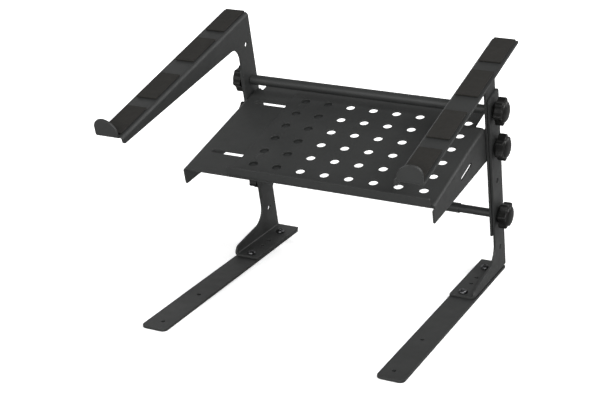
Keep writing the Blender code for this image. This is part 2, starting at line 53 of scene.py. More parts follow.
# Foot bars
# Two flat steel bars lie on the desk, one under each side. Each is cut from 3 mm sheet with its
# rims eased, drilled twice for the leg screws and twice more ahead of them, and powder coated.
def rounded(corners, steps=10):
    """Outline through (across, up, radius) corners, each rounded to its radius."""
    outline = []
    for index, (across, up, radius) in enumerate(corners):
        corner = Vector((across, up))
        if radius == 0:
            outline.append(corner)
            continue
        before = (Vector(corners[index - 1][:2]) - corner).normalized()
        after = (Vector(corners[(index + 1) % len(corners)][:2]) - corner).normalized()
        half = before.angle(after) / 2
        centre = corner + (before + after).normalized() * radius / math.sin(half)
        first = corner + before * radius / math.tan(half) - centre
        sweep = first.angle_signed(corner + after * radius / math.tan(half) - centre)
        for step in range(steps + 1):
            outline.append(centre + Matrix.Rotation(-sweep * step / steps, 2) @ first)
    return outline


def strip(width, length, back_round, front_round, steps=10):
    """Outline of a strip, drawn forward from its back edge, with its corners rounded."""
    return rounded([(0, 0, back_round), (width, 0, back_round),
                    (width, length, front_round), (0, length, front_round)], steps)


def circle(across, up, diameter, steps=32):
    """Round outline."""
    turn = 2 * math.pi / steps
    centre = Vector((across, up))
    return [centre + Vector((math.cos(turn * step), math.sin(turn * step))) * diameter / 2
            for step in range(steps)]


def moved_in(outline, amount):
    """Move every edge of a counter-clockwise outline inwards, or outwards for a negative amount."""
    result = []
    for index, point in enumerate(outline):
        before = (point - outline[index - 1]).normalized()
        after = (outline[(index + 1) % len(outline)] - point).normalized()
        normal = Vector((-before.y - after.y, before.x + after.x)).normalized()
        # A sharp corner moves by no more than twice the amount.
        share = max(0.5, normal.dot(Vector((-before.y, before.x))))
        result.append(point + normal * amount / share)
    return result


def cut_plate(outline, holes, thick, ease=0.0003):
    """Flat plate with holes, from z = 0 up to its thickness, with every rim eased."""
    work = bmesh.new()
    waist = ease * (1 - math.sqrt(0.5))
    rim = [(ease, 0), (waist, waist), (0, ease)]
    levels = rim + [(inset, thick - height) for inset, height in reversed(rim)]
    # The open edges of the bottom and of the top, which are filled last.
    ends = ([], [])
    for loop, sign in [(outline, 1)] + [(hole, -1) for hole in holes]:
        area = sum(loop[i - 1].cross(loop[i]) for i in range(len(loop)))
        line = loop if area > 0 else loop[::-1]
        rings = [[work.verts.new((*point, height)) for point in moved_in(line, inset * sign)]
                 for inset, height in levels]
        for low, high in zip(rings, rings[1:]):
            for index in range(len(low)):
                work.faces.new((low[index - 1], low[index], high[index], high[index - 1]))
        for edges, ring_points in zip(ends, (rings[0], rings[-1])):
            edges.extend(work.edges.get((ring_points[i - 1], ring_points[i]))
                         for i in range(len(ring_points)))
    for edges in ends:
        bmesh.ops.triangle_fill(work, use_beauty=True, edges=edges)
    bmesh.ops.recalc_face_normals(work, faces=work.faces)
    return work


def laid(across, forward, corner):
    """Placing of a level blank. Its X points right for an across of 1, its Y ahead for a forward of -1."""
    return Matrix.Translation(corner) @ Matrix.Diagonal((across, forward, 1, 1))


def add_node(tree, kind, settings=None, **values):
    """Add a shader node with its settings and its input values, or links for inputs that are sockets."""
    node = tree.nodes.new(kind)
    for name, value in (settings or {}).items():
        setattr(node, name, value)
    for name, value in values.items():
        socket = node.inputs[name.replace("_", " ")]
        if isinstance(value, bpy.types.NodeSocket):
            tree.links.new(value, socket)
        else:
            socket.default_value = value
    return node


def start_material(name):
    """Return a new material with its tree, shader and object coordinates."""
    made = bpy.data.materials.new(name)
    made.use_nodes = True
    tree = made.node_tree
    place = tree.nodes.new("ShaderNodeTexCoord").outputs["Object"]
    return made, tree, tree.nodes["Principled BSDF"], place


def mottle(tree, place, size, low, high):
    """Cloudy noise between two values or two colours; size is the noise scale per metre."""
    noise = add_node(tree, "ShaderNodeTexNoise", Vector=place, Scale=size, Detail=3.0)
    spread = add_node(tree, "ShaderNodeMapRange", Value=noise.outputs["Fac"], From_Min=0.3, From_Max=0.7)
    colours = isinstance(low, tuple)
    mix = add_node(tree, "ShaderNodeMix", {"data_type": "RGBA" if colours else "FLOAT"})
    tree.links.new(spread.outputs["Result"], mix.inputs[0])
    # The node's inputs for numbers are its third and fourth, and those for colours its seventh and eighth.
    first = 6 if colours else 2
    mix.inputs[first].default_value = (*low, 1) if colours else low
    mix.inputs[first + 1].default_value = (*high, 1) if colours else high
    return mix.outputs[2 if colours else 0]


def add_bump(tree, shader, height, strength, depth):
    """Raise the surface by a pattern of heights."""
    bump = add_node(tree, "ShaderNodeBump", Height=height, Strength=strength, Distance=depth)
    tree.links.new(bump.outputs["Normal"], shader.inputs["Normal"])


def make_powder_coat():
    """Charcoal powder coat: fine orange peel, soft sheen and a faint unevenness in the colour."""
    made, tree, shader, place = start_material("powder_coat")
    tree.links.new(mottle(tree, place, 30, (0.0195, 0.0205, 0.0200), (0.0245, 0.0255, 0.0250)),
                   shader.inputs["Base Color"])
    tree.links.new(mottle(tree, place, 90, 0.50, 0.58), shader.inputs["Roughness"])
    peel = add_node(tree, "ShaderNodeTexNoise", Vector=place, Scale=1500.0, Detail=2.0)
    grain = add_node(tree, "ShaderNodeTexNoise", Vector=place, Scale=5200.0, Detail=1.0)
    # The orange peel, plus a share of the finer grain.
    both = add_node(tree, "ShaderNodeMath", {"operation": "MULTIPLY_ADD"})
    tree.links.new(grain.outputs["Fac"], both.inputs[0])
    both.inputs[1].default_value = 0.35
    tree.links.new(peel.outputs["Fac"], both.inputs[2])
    add_bump(tree, shader, both.outputs["Value"], 0.25, 0.00012)
    return made


def finish_piece(work, name, place, material, body, node):
    """Stand a piece in place with its finish. It rides on its body and stands for its CAD node."""
    work.transform(place)
    if place.determinant() < 0:
        bmesh.ops.reverse_faces(work, faces=work.faces)
    mesh = bpy.data.meshes.new(name)
    work.to_mesh(mesh)
    work.free()
    mesh.materials.append(material)
    mesh.shade_smooth()
    piece = bpy.data.objects.new(name, mesh)
    scene.collection.objects.link(piece)
    normals = piece.modifiers.new("normals", "WEIGHTED_NORMAL")
    normals.mode = "FACE_AREA"
    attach(piece, body)
    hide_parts(node)


SIDES = (("right", 1), ("left", -1))
BOLT_HOLE = 0.0066
SMALL_HOLE = 0.0048
SMALL_HOLE_POINTS = 24
SCREWS_IN = 0.017                 # from the bar's outer edge
SCREWS_FROM_BACK = (0.0245, 0.102)
BAR_SMALL_HOLES = (0.2285, 0.3065)  # from the bar's back end
BAR_BACK_ROUND = 0.002
BAR_FRONT_ROUND = 0.006
coat = make_powder_coat()
bar_low, bar_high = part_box("right_foot_bar")
bar_back = bar_high[1]
bar_length = bar_back - bar_low[1]
bar_width = bar_high[0] - bar_low[0]
bar_thick = bar_high[2]
half_width = bar_high[0]
screw_line = bar_width - SCREWS_IN
for side, sign in SIDES:
    outline = strip(bar_width, bar_length, BAR_BACK_ROUND, BAR_FRONT_ROUND)
    holes = [circle(screw_line, back, BOLT_HOLE) for back in SCREWS_FROM_BACK]
    holes += [circle(screw_line, back, SMALL_HOLE, SMALL_HOLE_POINTS) for back in BAR_SMALL_HOLES]
    # Drawn from the bar's inner back corner, going forward.
    place = laid(sign, -1, (sign * (half_width - bar_width), bar_back, 0))
    finish_piece(cut_plate(outline, holes, bar_thick), f"{side}_bar", place, coat,
                 f"{side}_side", f"{side}_foot_bar")


# Legs
# Each leg is one blank of 2.5 mm steel sheet, folded up along the outer edge of its foot bar. The
# upright leans forward, with a row of bolt holes that set the height, and ends below in a web that
# stiffens the flange on the bar.
BEND_INSIDE = 0.0015              # inside radius of every fold
BEND_STEPS = 10


def fold(work, start, thick, axis, rise, only=None):
    """Fold a blank square past start on one axis, up when rise is 1 and down when it is -1."""
    zone = (BEND_INSIDE + thick / 2) * math.pi / 2
    for step in range(BEND_STEPS + 1):
        point = Vector()
        point[axis] = start + zone * step / BEND_STEPS
        normal = Vector()
        normal[axis] = 1
        bmesh.ops.bisect_plane(work, geom=work.verts[:] + work.edges[:] + work.faces[:], dist=1e-7,
                               plane_co=point, plane_no=normal)
    centre = thick + BEND_INSIDE if rise > 0 else -BEND_INSIDE
    for vert in work.verts:
        past = vert.co[axis] - start
        if past < 1e-8 or (only and not only(vert.co)):
            continue
        angle = math.pi / 2 * min(past / zone, 1)
        straight = max(past - zone, 0)
        reach = (centre - vert.co.z) * rise
        vert.co[axis] = start + reach * math.sin(angle) + straight * math.cos(angle)
        vert.co.z = centre - rise * (reach * math.cos(angle) - straight * math.sin(angle))


def unfolded(start, thick):
    """Where the level of the face outside a fold falls on the blank, past the fold."""
    return start + (BEND_INSIDE + thick / 2) * math.pi / 2 - BEND_INSIDE - thick


def joint_point(name):
    """A joint's point, from the frame."""
    return Vector(next(joint for joint in frame["joints"] if joint["name"] == name)["pos_m"])


SHEET = 0.0025
GAP = 0.0003                      # left between pieces that touch
lower_bolt = joint_point("right_lower_knob_turn")
upper_bolt = joint_point("right_upper_knob_turn")
along = upper_bolt - lower_bolt
lean = math.atan2(-along.y, along.z)
hole_pitch = along.length / 3
leaning = Matrix.Translation((0, lower_bolt.y, lower_bolt.z)) @ Matrix.Rotation(lean, 4, "X")


def from_leaning(forward, up):
    """World (Y, Z) of a point ahead of the bolt line and up the lean."""
    point = leaning @ Vector((0, -forward, up))
    return point.y, point.z


LEG_BACK = -0.0165                # ahead of the bolt line, as the front is
LEG_FRONT = 0.0160
LEG_TOP = 0.1570                  # above the lower bolt, along the lean
LEG_FLANGE = 0.1115               # length on the bar
LEG_SHORT = 0.0002                # left free at the bar's back end
LEG_TOE = 0.0144                  # height of the web's front end
LEG_CROOK = 0.0253                # height at which the upright rises from the web
LEG_HEEL = 0.028                  # from the crook down to the heel, along the lean
LEG_HEEL_CUT = 0.004
LEG_SMALL_HOLES = (0.056, 0.0745)  # from the bar's back end
LEG_BOLT_STEPS = range(-1, 4)     # one hole below the lower crossbar, then up to the upper one
flange_low = bar_thick + GAP
leg_back = bar_back - LEG_SHORT
leg_toe = bar_back - LEG_FLANGE
crook = -(lower_bolt.z - LEG_FRONT * math.sin(lean) - LEG_CROOK) / math.cos(lean)
heel = from_leaning(LEG_BACK, crook - LEG_HEEL)
# World Y, height and radius of each corner, from the toe round to the heel.
web_corners = [(leg_toe, LEG_TOE, 0.008), (*from_leaning(LEG_FRONT, crook), 0.018),
               (*from_leaning(LEG_FRONT, LEG_TOP), 0.005), (*from_leaning(LEG_BACK, LEG_TOP), 0.005),
               (*heel, 0.004), (leg_back, heel[1] - LEG_HEEL_CUT, 0)]
leg_fold = bar_width - SHEET - BEND_INSIDE
desk_line = unfolded(leg_fold, SHEET) - flange_low
for side, sign in SIDES:
    # Drawn from the bar's inner edge outwards. Past the fold, heights count from the desk's line.
    outline = [(0, leg_back, 0.001), (0, leg_toe, 0.001)]
    outline += [(desk_line + up, back, radius) for back, up, radius in web_corners]
    holes = [circle(screw_line, bar_back - back, BOLT_HOLE) for back in SCREWS_FROM_BACK]
    holes += [circle(screw_line, bar_back - back, SMALL_HOLE, SMALL_HOLE_POINTS)
              for back in LEG_SMALL_HOLES]
    for step in LEG_BOLT_STEPS:
        back, up = from_leaning(0, hole_pitch * step)
        holes.append(circle(desk_line + up, back, BOLT_HOLE))
    leg = cut_plate(rounded(outline), holes, SHEET)
    fold(leg, leg_fold, SHEET, 0, 1)
    place = laid(sign, 1, (sign * (half_width - bar_width), 0, flange_low))
    finish_piece(leg, f"{side}_folded_leg", place, coat, f"{side}_side", f"{side}_leg")


# Foot screws
# Two button-head machine screws with a hexagon socket hold each leg on its bar. They are turned
# steel with a blackened, slightly patchy zinc plate.
ROUND_POINTS = 64
HEXAGON_POINTS = 48               # so that each corner of a hexagon is a point


def lofted(rings, closed=False):
    """Skin over rings of points; a ring of one point is a tip."""
    work = bmesh.new()
    made = [[work.verts.new(point) for point in ring_points] for ring_points in rings]
    pairs = list(zip(made, made[1:]))
    if closed:
        pairs.append((made[-1], made[0]))
    for low, high in pairs:
        for index in range(max(len(low), len(high))):
            corners = [low[index % len(low)], low[(index + 1) % len(low)],
                       high[(index + 1) % len(high)], high[index % len(high)]]
            work.faces.new(list(dict.fromkeys(corners)))
    bmesh.ops.recalc_face_normals(work, faces=work.faces)
    return work


def ring(radius, height, around=ROUND_POINTS):
    """Round ring about Z, or its centre point for no radius."""
    if radius == 0:
        return [Vector((0, 0, height))]
    return [Vector((*point, height)) for point in circle(0, 0, 2 * radius, around)]


def hexagon_ring(flat, height):
    """Ring that follows a hexagon, flat being the distance from its centre to a side."""
    points = []
    for step in range(HEXAGON_POINTS):
        angle = 2 * math.pi * step / HEXAGON_POINTS
        off_flat = (angle + math.pi / 6) % (math.pi / 3) - math.pi / 6
        radius = flat / math.cos(off_flat)
        points.append(Vector((radius * math.cos(angle), radius * math.sin(angle), height)))
    return points


def make_black_zinc():
    """Blackened zinc plate: dark, metallic and a little patchy."""
    made, tree, shader, place = start_material("black_zinc")
    tree.links.new(mottle(tree, place, 240, (0.055, 0.056, 0.060), (0.105, 0.105, 0.108)),
                   shader.inputs["Base Color"])
    tree.links.new(mottle(tree, place, 420, 0.26, 0.42), shader.inputs["Roughness"])
    shader.inputs["Metallic"].default_value = 1.0
    scratches = add_node(tree, "ShaderNodeTexNoise", Vector=place, Scale=3500.0, Detail=2.0)
    add_bump(tree, shader, scratches.outputs["Fac"], 0.15, 0.00005)
    return made


zinc = make_black_zinc()
SHANK = 0.0030                    # radius of every M6 shank
SCREW_HEAD = 0.00525              # radius of the button head
# Radius and depth below the top of each point, from the socket's mouth down the crown.
SCREW_CROWN = ((0.0025, 0), (0.0031, 0.00012), (0.0038, 0.0005), (0.0045, 0.0011), (0.0050, 0.0019))
SCREW_BRIM = 0.0007               # height of the head's upright edge
SCREW_EASE = 0.0002
SCREW_TIP = 0.0005
SOCKET_FLAT = 0.0017              # from its centre to a side
SOCKET_DEEP = 0.0017
SCREW_TURN = 0.4                  # radians
brim = flange_low + SHEET + GAP
for side, sign in SIDES:
    for where in ("back", "front"):
        low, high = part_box(f"{side}_foot_screw_{where}")
        tip = low[2]
        crown = high[2]
        profile = [(radius, crown - down) for radius, down in SCREW_CROWN]
        profile += [(SCREW_HEAD, brim + SCREW_BRIM), (SCREW_HEAD, brim + SCREW_EASE),
                    (SCREW_HEAD - SCREW_EASE, brim), (SHANK, brim), (SHANK, tip + SCREW_TIP),
                    (SHANK - SCREW_TIP, tip), (0, tip)]
        rings = [ring(0, crown - SOCKET_DEEP - SCREW_EASE),
                 hexagon_ring(SOCKET_FLAT, crown - SOCKET_DEEP),
                 hexagon_ring(SOCKET_FLAT, crown - SCREW_EASE),
                 hexagon_ring(SOCKET_FLAT + SCREW_EASE, crown)]
        rings += [ring(radius, height, HEXAGON_POINTS) for radius, height in profile]
        middle = Matrix.Translation(((low[0] + high[0]) / 2, (low[1] + high[1]) / 2, 0))
        place = middle @ Matrix.Rotation(SCREW_TURN, 4, "Z")
        finish_piece(lofted(rings), f"{side}_button_screw_{where}", place, zinc,
                     f"{side}_side", f"{side}_foot_screw_{where}")


# Arms
# Each arm is one blank too: an upright that is bolted inside the leg, a web that tapers towards the
# front, a wide flange folded outwards on top, and an arched lip at the front that stops the laptop.
ARM_FLANGE = 0.0303
ARM_TOP = 0.2172                  # above the lower bolt, as the bottom is
ARM_BOTTOM = -0.0200
ARM_BACK = -0.0138                # ahead of the bolt line, as the fronts are
ARM_UPRIGHT_FRONT = 0.0177
ARM_WEB_END = 0.2650
ARM_FRONT = 0.2680
ARM_WEB_DEPTH = (0.0277, 0.0090)  # at the upright and at the front end
ARM_LIP = 0.0185
ARM_LIP_ROUNDS = (0.0095, 0.0160)  # of the lip's outer and inner corners
ARM_SLIT = 0.0006                 # between the lip's fold and the web
ARM_RELIEF = 0.0002               # either side of the flange's fold
ARM_ROUND_STEPS = 16
ARM_BOLT_HOLES = 5                # from the lower bolt up, at the leg's pitch
arm_inner = half_width - 2 * SHEET - GAP
arm_fold = ARM_FLANGE - SHEET - BEND_INSIDE
lip_fold = ARM_FRONT - SHEET - BEND_INSIDE
arm_level = unfolded(arm_fold, SHEET)
lip_end = unfolded(lip_fold, SHEET) + SHEET + ARM_LIP
lip_inner = arm_fold - ARM_RELIEF
web_start = arm_fold + ARM_RELIEF
upright_end = arm_level + ARM_TOP - ARM_BOTTOM
for side, sign in SIDES:
    # Drawn from the flange's outer edge inwards, and forward from the bolt line, with corner radii.
    outline = [(0, ARM_BACK, 0.0008), (0, lip_end, ARM_LIP_ROUNDS[0]),
               (lip_inner, lip_end, ARM_LIP_ROUNDS[1]), (lip_inner, lip_fold - ARM_SLIT, 0),
               (web_start, lip_fold - ARM_SLIT, 0), (web_start, ARM_WEB_END, 0.0006),
               (arm_level + ARM_WEB_DEPTH[1], ARM_WEB_END, 0.003),
               (arm_level + ARM_WEB_DEPTH[0], ARM_UPRIGHT_FRONT, 0.019),
               (upright_end, ARM_UPRIGHT_FRONT, 0.001), (upright_end, ARM_BACK, 0.001)]
    holes = [circle(arm_level + ARM_TOP - hole_pitch * step, 0, BOLT_HOLE)
             for step in range(ARM_BOLT_HOLES)]
    arm = cut_plate(rounded(outline, ARM_ROUND_STEPS), holes, SHEET)
    fold(arm, lip_fold, SHEET, 1, 1, only=lambda point: point.x < arm_fold)
    fold(arm, arm_fold, SHEET, 0, -1)
    place = leaning @ laid(-sign, -1, (sign * (arm_inner + ARM_FLANGE), 0, ARM_TOP - SHEET))
    finish_piece(arm, f"{side}_folded_arm", place, coat, f"{side}_side", f"{side}_arm")


# Rubber pads
# Four pads are glued along the top of each arm so that the laptop doesn't slide. They are die-cut
# from 1.5 mm rubber sheet with a matt, finely pebbled skin.
def make_rubber():
    """Matt rubber sheet, warm black with a fine pebbled skin."""
    made, tree, shader, place = start_material("pad_rubber")
    tree.links.new(mottle(tree, place, 60, (0.0065, 0.0057, 0.0040), (0.0100, 0.0088, 0.0066)),
                   shader.inputs["Base Color"])
    tree.links.new(mottle(tree, place, 150, 0.80, 0.92), shader.inputs["Roughness"])
    pebbles = add_node(tree, "ShaderNodeTexVoronoi", Vector=place, Scale=1800.0)
    add_bump(tree, shader, pebbles.outputs["Distance"], 0.3, 0.0001)
    return made


rubber = make_rubber()
PAD_WIDTH = 0.0235
PAD_LENGTH = 0.0515
PAD_THICK = 0.0015
PAD_ROUND = 0.0007
PAD_ROUND_STEPS = 4
PAD_EASE = 0.0004
PAD_EDGE = 0.0040                 # out from the arm's inner face
PAD_BACKS = (-0.0134, 0.0575, 0.1395, 0.2100)
for side, sign in SIDES:
    for number, back in enumerate(PAD_BACKS, start=1):
        outline = strip(PAD_WIDTH, PAD_LENGTH, PAD_ROUND, PAD_ROUND, PAD_ROUND_STEPS)
        pad = cut_plate(outline, [], PAD_THICK, PAD_EASE)
        place = leaning @ laid(sign, -1, (sign * (arm_inner + PAD_EDGE), -back, ARM_TOP + GAP))
        finish_piece(pad, f"{side}_rubber_pad_{number}", place, rubber, f"{side}_side",
                     f"{side}_arm_pad_{number}")


# Crossbars
# Two telescoping crossbars tie the sides together. A turned rod from the right arm slides in a
# drawn tube from the left one, and both are coated; a tapped plug closes the tube at the arm.
def turned(profile, closed=False):
    """Skin turned about Z from (radius, height) points."""
    return lofted([ring(radius, height) for radius, height in profile], closed)


def rim_points(radius, end, rim, facing):
    """Profile points round a rim, from its face to its side. Facing is 1 for a face on top."""
    size, middle = rim
    return [(radius - size, end), (radius - middle, end - middle * facing), (radius, end - size * facing)]


ROD = 0.0098                      # diameter, as the sleeve's is
ROD_END = -0.1120                 # to the left of the middle
ROD_RIM = (0.0006, 0.0002)        # its size, and how far it is cut back at its middle
TAP_DEEP = 0.022
TAP_EASE = 0.0005
SLEEVE = 0.0116
SLEEVE_END = 0.1040
SLEEVE_RIM = (0.0004, 0.0001)
SLEEVE_EASE = 0.0003
PLUG_LONG = 0.0120
bar_end = arm_inner - GAP
rod_radius = ROD / 2
tap = BOLT_HOLE / 2
rod = [(0, bar_end - TAP_DEEP), (tap, bar_end - TAP_DEEP), (tap, bar_end - TAP_EASE),
       (tap + TAP_EASE, bar_end)]
rod += rim_points(rod_radius, bar_end, ROD_RIM, 1)
rod += rim_points(rod_radius, ROD_END, ROD_RIM, -1)[::-1] + [(0, ROD_END)]
bore = rod_radius + GAP
outside = SLEEVE / 2
tube = [(bore, SLEEVE_END - SLEEVE_EASE), (bore + SLEEVE_EASE, SLEEVE_END)]
tube += rim_points(outside, SLEEVE_END, SLEEVE_RIM, 1)
tube += [(outside, SLEEVE_EASE - bar_end), (outside - SLEEVE_EASE, -bar_end), (bore, -bar_end)]
plug = [(tap, PLUG_LONG - bar_end), (rod_radius, PLUG_LONG - bar_end), (rod_radius, -bar_end),
        (tap, -bar_end)]
for label, up in (("upper", along.length), ("lower", 0)):
    # The crossbar's own +Z points to the right.
    place = leaning @ Matrix.Translation((0, 0, up)) @ Matrix.Rotation(math.pi / 2, 4, "Y")
    finish_piece(turned(rod), f"{label}_rod", place, coat, "right_side",
                 f"{label}_crossbar_rod")
    finish_piece(turned(tube, True), f"{label}_sleeve", place, coat, "left_side",
                 f"{label}_crossbar_sleeve")
    finish_piece(turned(plug, True), f"{label}_tapped_plug", place, zinc, "left_side",
                 f"{label}_crossbar_plug")


# Tray deck
# The upper tray sheet, of 2 mm steel, carries the interface. It is punched with rows of vents, folded
# down on the right into a flange with a cable-tie slot and a bolted ear, and up in front into a lip.
TRAY_SHEET = 0.002
TRAY_LEVEL = 0.0334               # above the tray's pivot
TRAY_FRONT = 0.1753               # ahead of the pivot, as the back is
TRAY_BACK = -0.0153
TRAY_LIP = 0.0095
TRAY_SLIT = 0.001                 # between the lip's fold and the flange
TRAY_RELIEF = 0.0003              # between the lip's end and the flange's fold
TRAY_SIDE_DEPTH = (0.0490, 0.0200)  # at the back and in front
DECK_LEFT = -0.0895
EAR_NOTCH = 0.0105                # in from the tray's side
EAR_NOTCH_FRONTS = (0.0184, -0.0040)  # of the deck and of the slider
EAR_TOP = 0.0045                  # below the sheet's top
TIE_SLOT = (0.0045, 0.0335)       # depth and length
TIE_SLOT_AT = (0.0180, 0.0790)    # below the sheet and ahead of the pivot
VENT = 0.0100                     # diameter
VENT_COLUMNS = 8
VENT_ROWS = 6
VENT_PITCH = (0.0279, 0.0271)     # across and forward, as the first one's place is
VENT_FIRST = (-0.0710, 0.0127)
CLAMP_ROWS = (0.44, 4.42)         # clamp studs, in vent rows from the first
CLAMP_HEAD = 0.0090               # diameters of a stud's head and of the hole that it fills
CLAMP_SEAT = 0.0091
tray_pivot = joint_point("right_tray_knob_turn")
tray = Matrix.Translation((0, tray_pivot.y, tray_pivot.z)) @ Matrix.Rotation(lean, 4, "X")
tray_half = arm_inner - GAP
side_fold = tray_half - TRAY_SHEET - BEND_INSIDE
side_level = unfolded(side_fold, TRAY_SHEET)


def flange_outline(front, notch_front):
    """Corners of a tray flange, from its front end to the sheet's edge behind the ear notch."""
    back_depth, front_depth = TRAY_SIDE_DEPTH
    return [(side_level + front_depth, front, 0.002), (side_level + back_depth, TRAY_BACK, 0.015),
            (side_level + EAR_TOP, TRAY_BACK, 0.003), (side_level + EAR_TOP, notch_front, 0.0005),
            (tray_half - EAR_NOTCH, notch_front, 0.0006), (tray_half - EAR_NOTCH, TRAY_BACK, 0.0006)]


def long_hole(across, forward, size_across, size_forward):
    """Outline of a slot with round ends."""
    half = Vector((size_across, size_forward)) / 2
    # Just under half the width, so that no two points of a round end coincide.
    radius = min(half) * 0.999
    left = across - half.x
    right = across + half.x
    back = forward - half.y
    front = forward + half.y
    return rounded([(left, back, radius), (right, back, radius), (right, front, radius),
                    (left, front, radius)])


def flange_holes():
    """Bolt hole in the ear and cable-tie slot of a tray flange."""
    down, forward = TIE_SLOT_AT
    return [circle(side_level + TRAY_LEVEL, 0, BOLT_HOLE), long_hole(side_level + down, forward, *TIE_SLOT)]


deck_lip_fold = TRAY_FRONT - TRAY_SHEET - BEND_INSIDE
deck_lip_end = unfolded(deck_lip_fold, TRAY_SHEET) + TRAY_SHEET + TRAY_LIP
deck_lip_right = side_fold - TRAY_RELIEF
# Drawn to the right from the middle and forward from the pivot, with corner radii.
outline = [(DECK_LEFT, TRAY_BACK, 0.0006), (DECK_LEFT, deck_lip_end, 0.0015),
           (deck_lip_right, deck_lip_end, 0.0015), (deck_lip_right, deck_lip_fold - TRAY_SLIT, 0.0005),
           (side_level + EAR_TOP, deck_lip_fold - TRAY_SLIT, 0.0005),
           (side_level + EAR_TOP, TRAY_FRONT, 0.0006)]
outline += flange_outline(TRAY_FRONT, EAR_NOTCH_FRONTS[0])
vents = [circle(VENT_FIRST[0] + column * VENT_PITCH[0], VENT_FIRST[1] + row * VENT_PITCH[1], VENT)
         for column in range(VENT_COLUMNS) for row in range(VENT_ROWS)]
clamps = [VENT_FIRST[1] + row * VENT_PITCH[1] for row in CLAMP_ROWS]
seats = [circle(VENT_FIRST[0], forward, CLAMP_SEAT) for forward in clamps]
deck = cut_plate(rounded(outline), vents + seats + flange_holes(), TRAY_SHEET)
fold(deck, deck_lip_fold, TRAY_SHEET, 1, 1, only=lambda point: point.x < side_fold)
fold(deck, side_fold, TRAY_SHEET, 0, -1)
place = tray @ laid(1, -1, (0, 0, TRAY_LEVEL - TRAY_SHEET))
finish_piece(deck, "perforated_deck", place, coat, "tray_right", "tray_deck")


# Tray slider
# The lower tray sheet slides out from under the deck when the stand is widened. It is plain but for
# two long slots for the clamp studs, and is folded down on the left like the deck is on the right.
SLIDER_RIGHT = -0.0375
SLIDER_FRONT = 0.1730
CLAMP_SLOT = (-0.131, -0.045)     # its left and right ends
# Drawn mirrored, so that its flange is on the same side of the blank as the deck's.
outline = [(-SLIDER_RIGHT, TRAY_BACK, 0.0006), (-SLIDER_RIGHT, SLIDER_FRONT, 0.0006)]
outline += flange_outline(SLIDER_FRONT, EAR_NOTCH_FRONTS[1])
slot_middle = -(CLAMP_SLOT[0] + CLAMP_SLOT[1]) / 2
slot_length = CLAMP_SLOT[1] - CLAMP_SLOT[0]
slots = [long_hole(slot_middle, forward, slot_length, BOLT_HOLE) for forward in clamps]
slider = cut_plate(rounded(outline), slots + flange_holes(), TRAY_SHEET)
fold(slider, side_fold, TRAY_SHEET, 0, -1)
place = tray @ laid(-1, -1, (0, 0, TRAY_LEVEL - 2 * TRAY_SHEET - GAP))
finish_piece(slider, "plain_slider", place, coat, "tray_left", "tray_slider")


# Tray fasteners
# Two studs are pressed flush into the deck, coated with it, and reach down through the slider's slots.
# A washer and a nut on each hold the sheets together, and a nut in each ear takes the tray knob's stud.
NUT_ACROSS = 0.0100
NUT_HIGH = 0.0050
NUT_CHAMFER = 0.0005
NUT_FACE_IN = 0.0002              # from a side in to the round edge of a face
NUT_SINK = 0.0006                 # of its countersink
CLAMP_FLUSH = 0.0001              # below the deck's top
CLAMP_REACH = 0.0165              # down from the deck's top
CLAMP_HEAD_HIGH = 0.0016
CLAMP_TIP = 0.0007
WASHER = 0.0080                   # radius
WASHER_THICK = 0.0012
FASTENER_EASE = 0.0002


def make_nut():
    """Hexagon nut with chamfered corners and a countersunk bore, standing on its XY plane."""
    flat = NUT_ACROSS / 2
    corner = flat / math.cos(math.pi / 6)
    face = flat - NUT_FACE_IN
    rings = []
    sides = ((0, face), (NUT_CHAMFER, corner), (NUT_HIGH - NUT_CHAMFER, corner), (NUT_HIGH, face))
    for height, outer in sides:
        hexagon = hexagon_ring(flat, height)
        for point in hexagon:
            reach = point.xy.length
            if reach > outer:
                point.xy *= outer / reach
        rings.append(hexagon)
    hole = BOLT_HOLE / 2
    inside = ((hole + NUT_SINK, NUT_HIGH), (hole, NUT_HIGH - NUT_SINK), (hole, NUT_SINK),
              (hole + NUT_SINK, 0))
    rings += [ring(radius, height, HEXAGON_POINTS) for radius, height in inside]
    return lofted(rings, True)


head = CLAMP_HEAD / 2
top = TRAY_LEVEL - CLAMP_FLUSH
end = TRAY_LEVEL - CLAMP_REACH
clamp_stud = [(0, top), (head - FASTENER_EASE, top), (head, top - FASTENER_EASE),
              (head, top - CLAMP_HEAD_HIGH), (SHANK, top - CLAMP_HEAD_HIGH), (SHANK, end + CLAMP_TIP),
              (SHANK - CLAMP_TIP, end), (0, end)]
washer_top = TRAY_LEVEL - 2 * TRAY_SHEET - 2 * GAP
washer_low = washer_top - WASHER_THICK
washer_hole = BOLT_HOLE / 2
washer = [(washer_hole, washer_top), (WASHER - FASTENER_EASE, washer_top),
          (WASHER, washer_top - FASTENER_EASE), (WASHER, washer_low + FASTENER_EASE),
          (WASHER - FASTENER_EASE, washer_low), (washer_hole, washer_low)]
for where, forward in zip(("back", "front"), clamps):
    place = tray @ Matrix.Translation((VENT_FIRST[0], -forward, 0))
    finish_piece(turned(clamp_stud), f"clamp_stud_{where}", place, coat, "tray_right",
                 f"tray_clamp_stud_{where}")
    finish_piece(turned(washer, True), f"clamp_washer_{where}", place, zinc, "tray_right",
                 f"tray_clamp_washer_{where}")
    low_place = place @ Matrix.Translation((0, 0, washer_low - GAP - NUT_HIGH))
    finish_piece(make_nut(), f"clamp_nut_{where}", low_place, zinc, "tray_right",
                 f"tray_clamp_nut_{where}")
ear_inner = tray_half - TRAY_SHEET - GAP
for side, sign in SIDES:
    start = ear_inner - NUT_HIGH if sign > 0 else -ear_inner
    place = tray @ Matrix.Translation((start, 0, 0)) @ Matrix.Rotation(math.pi / 2, 4, "Y")
    finish_piece(make_nut(), f"{side}_inside_nut", place, zinc, f"tray_{side}",
                 f"{side}_ear_nut")


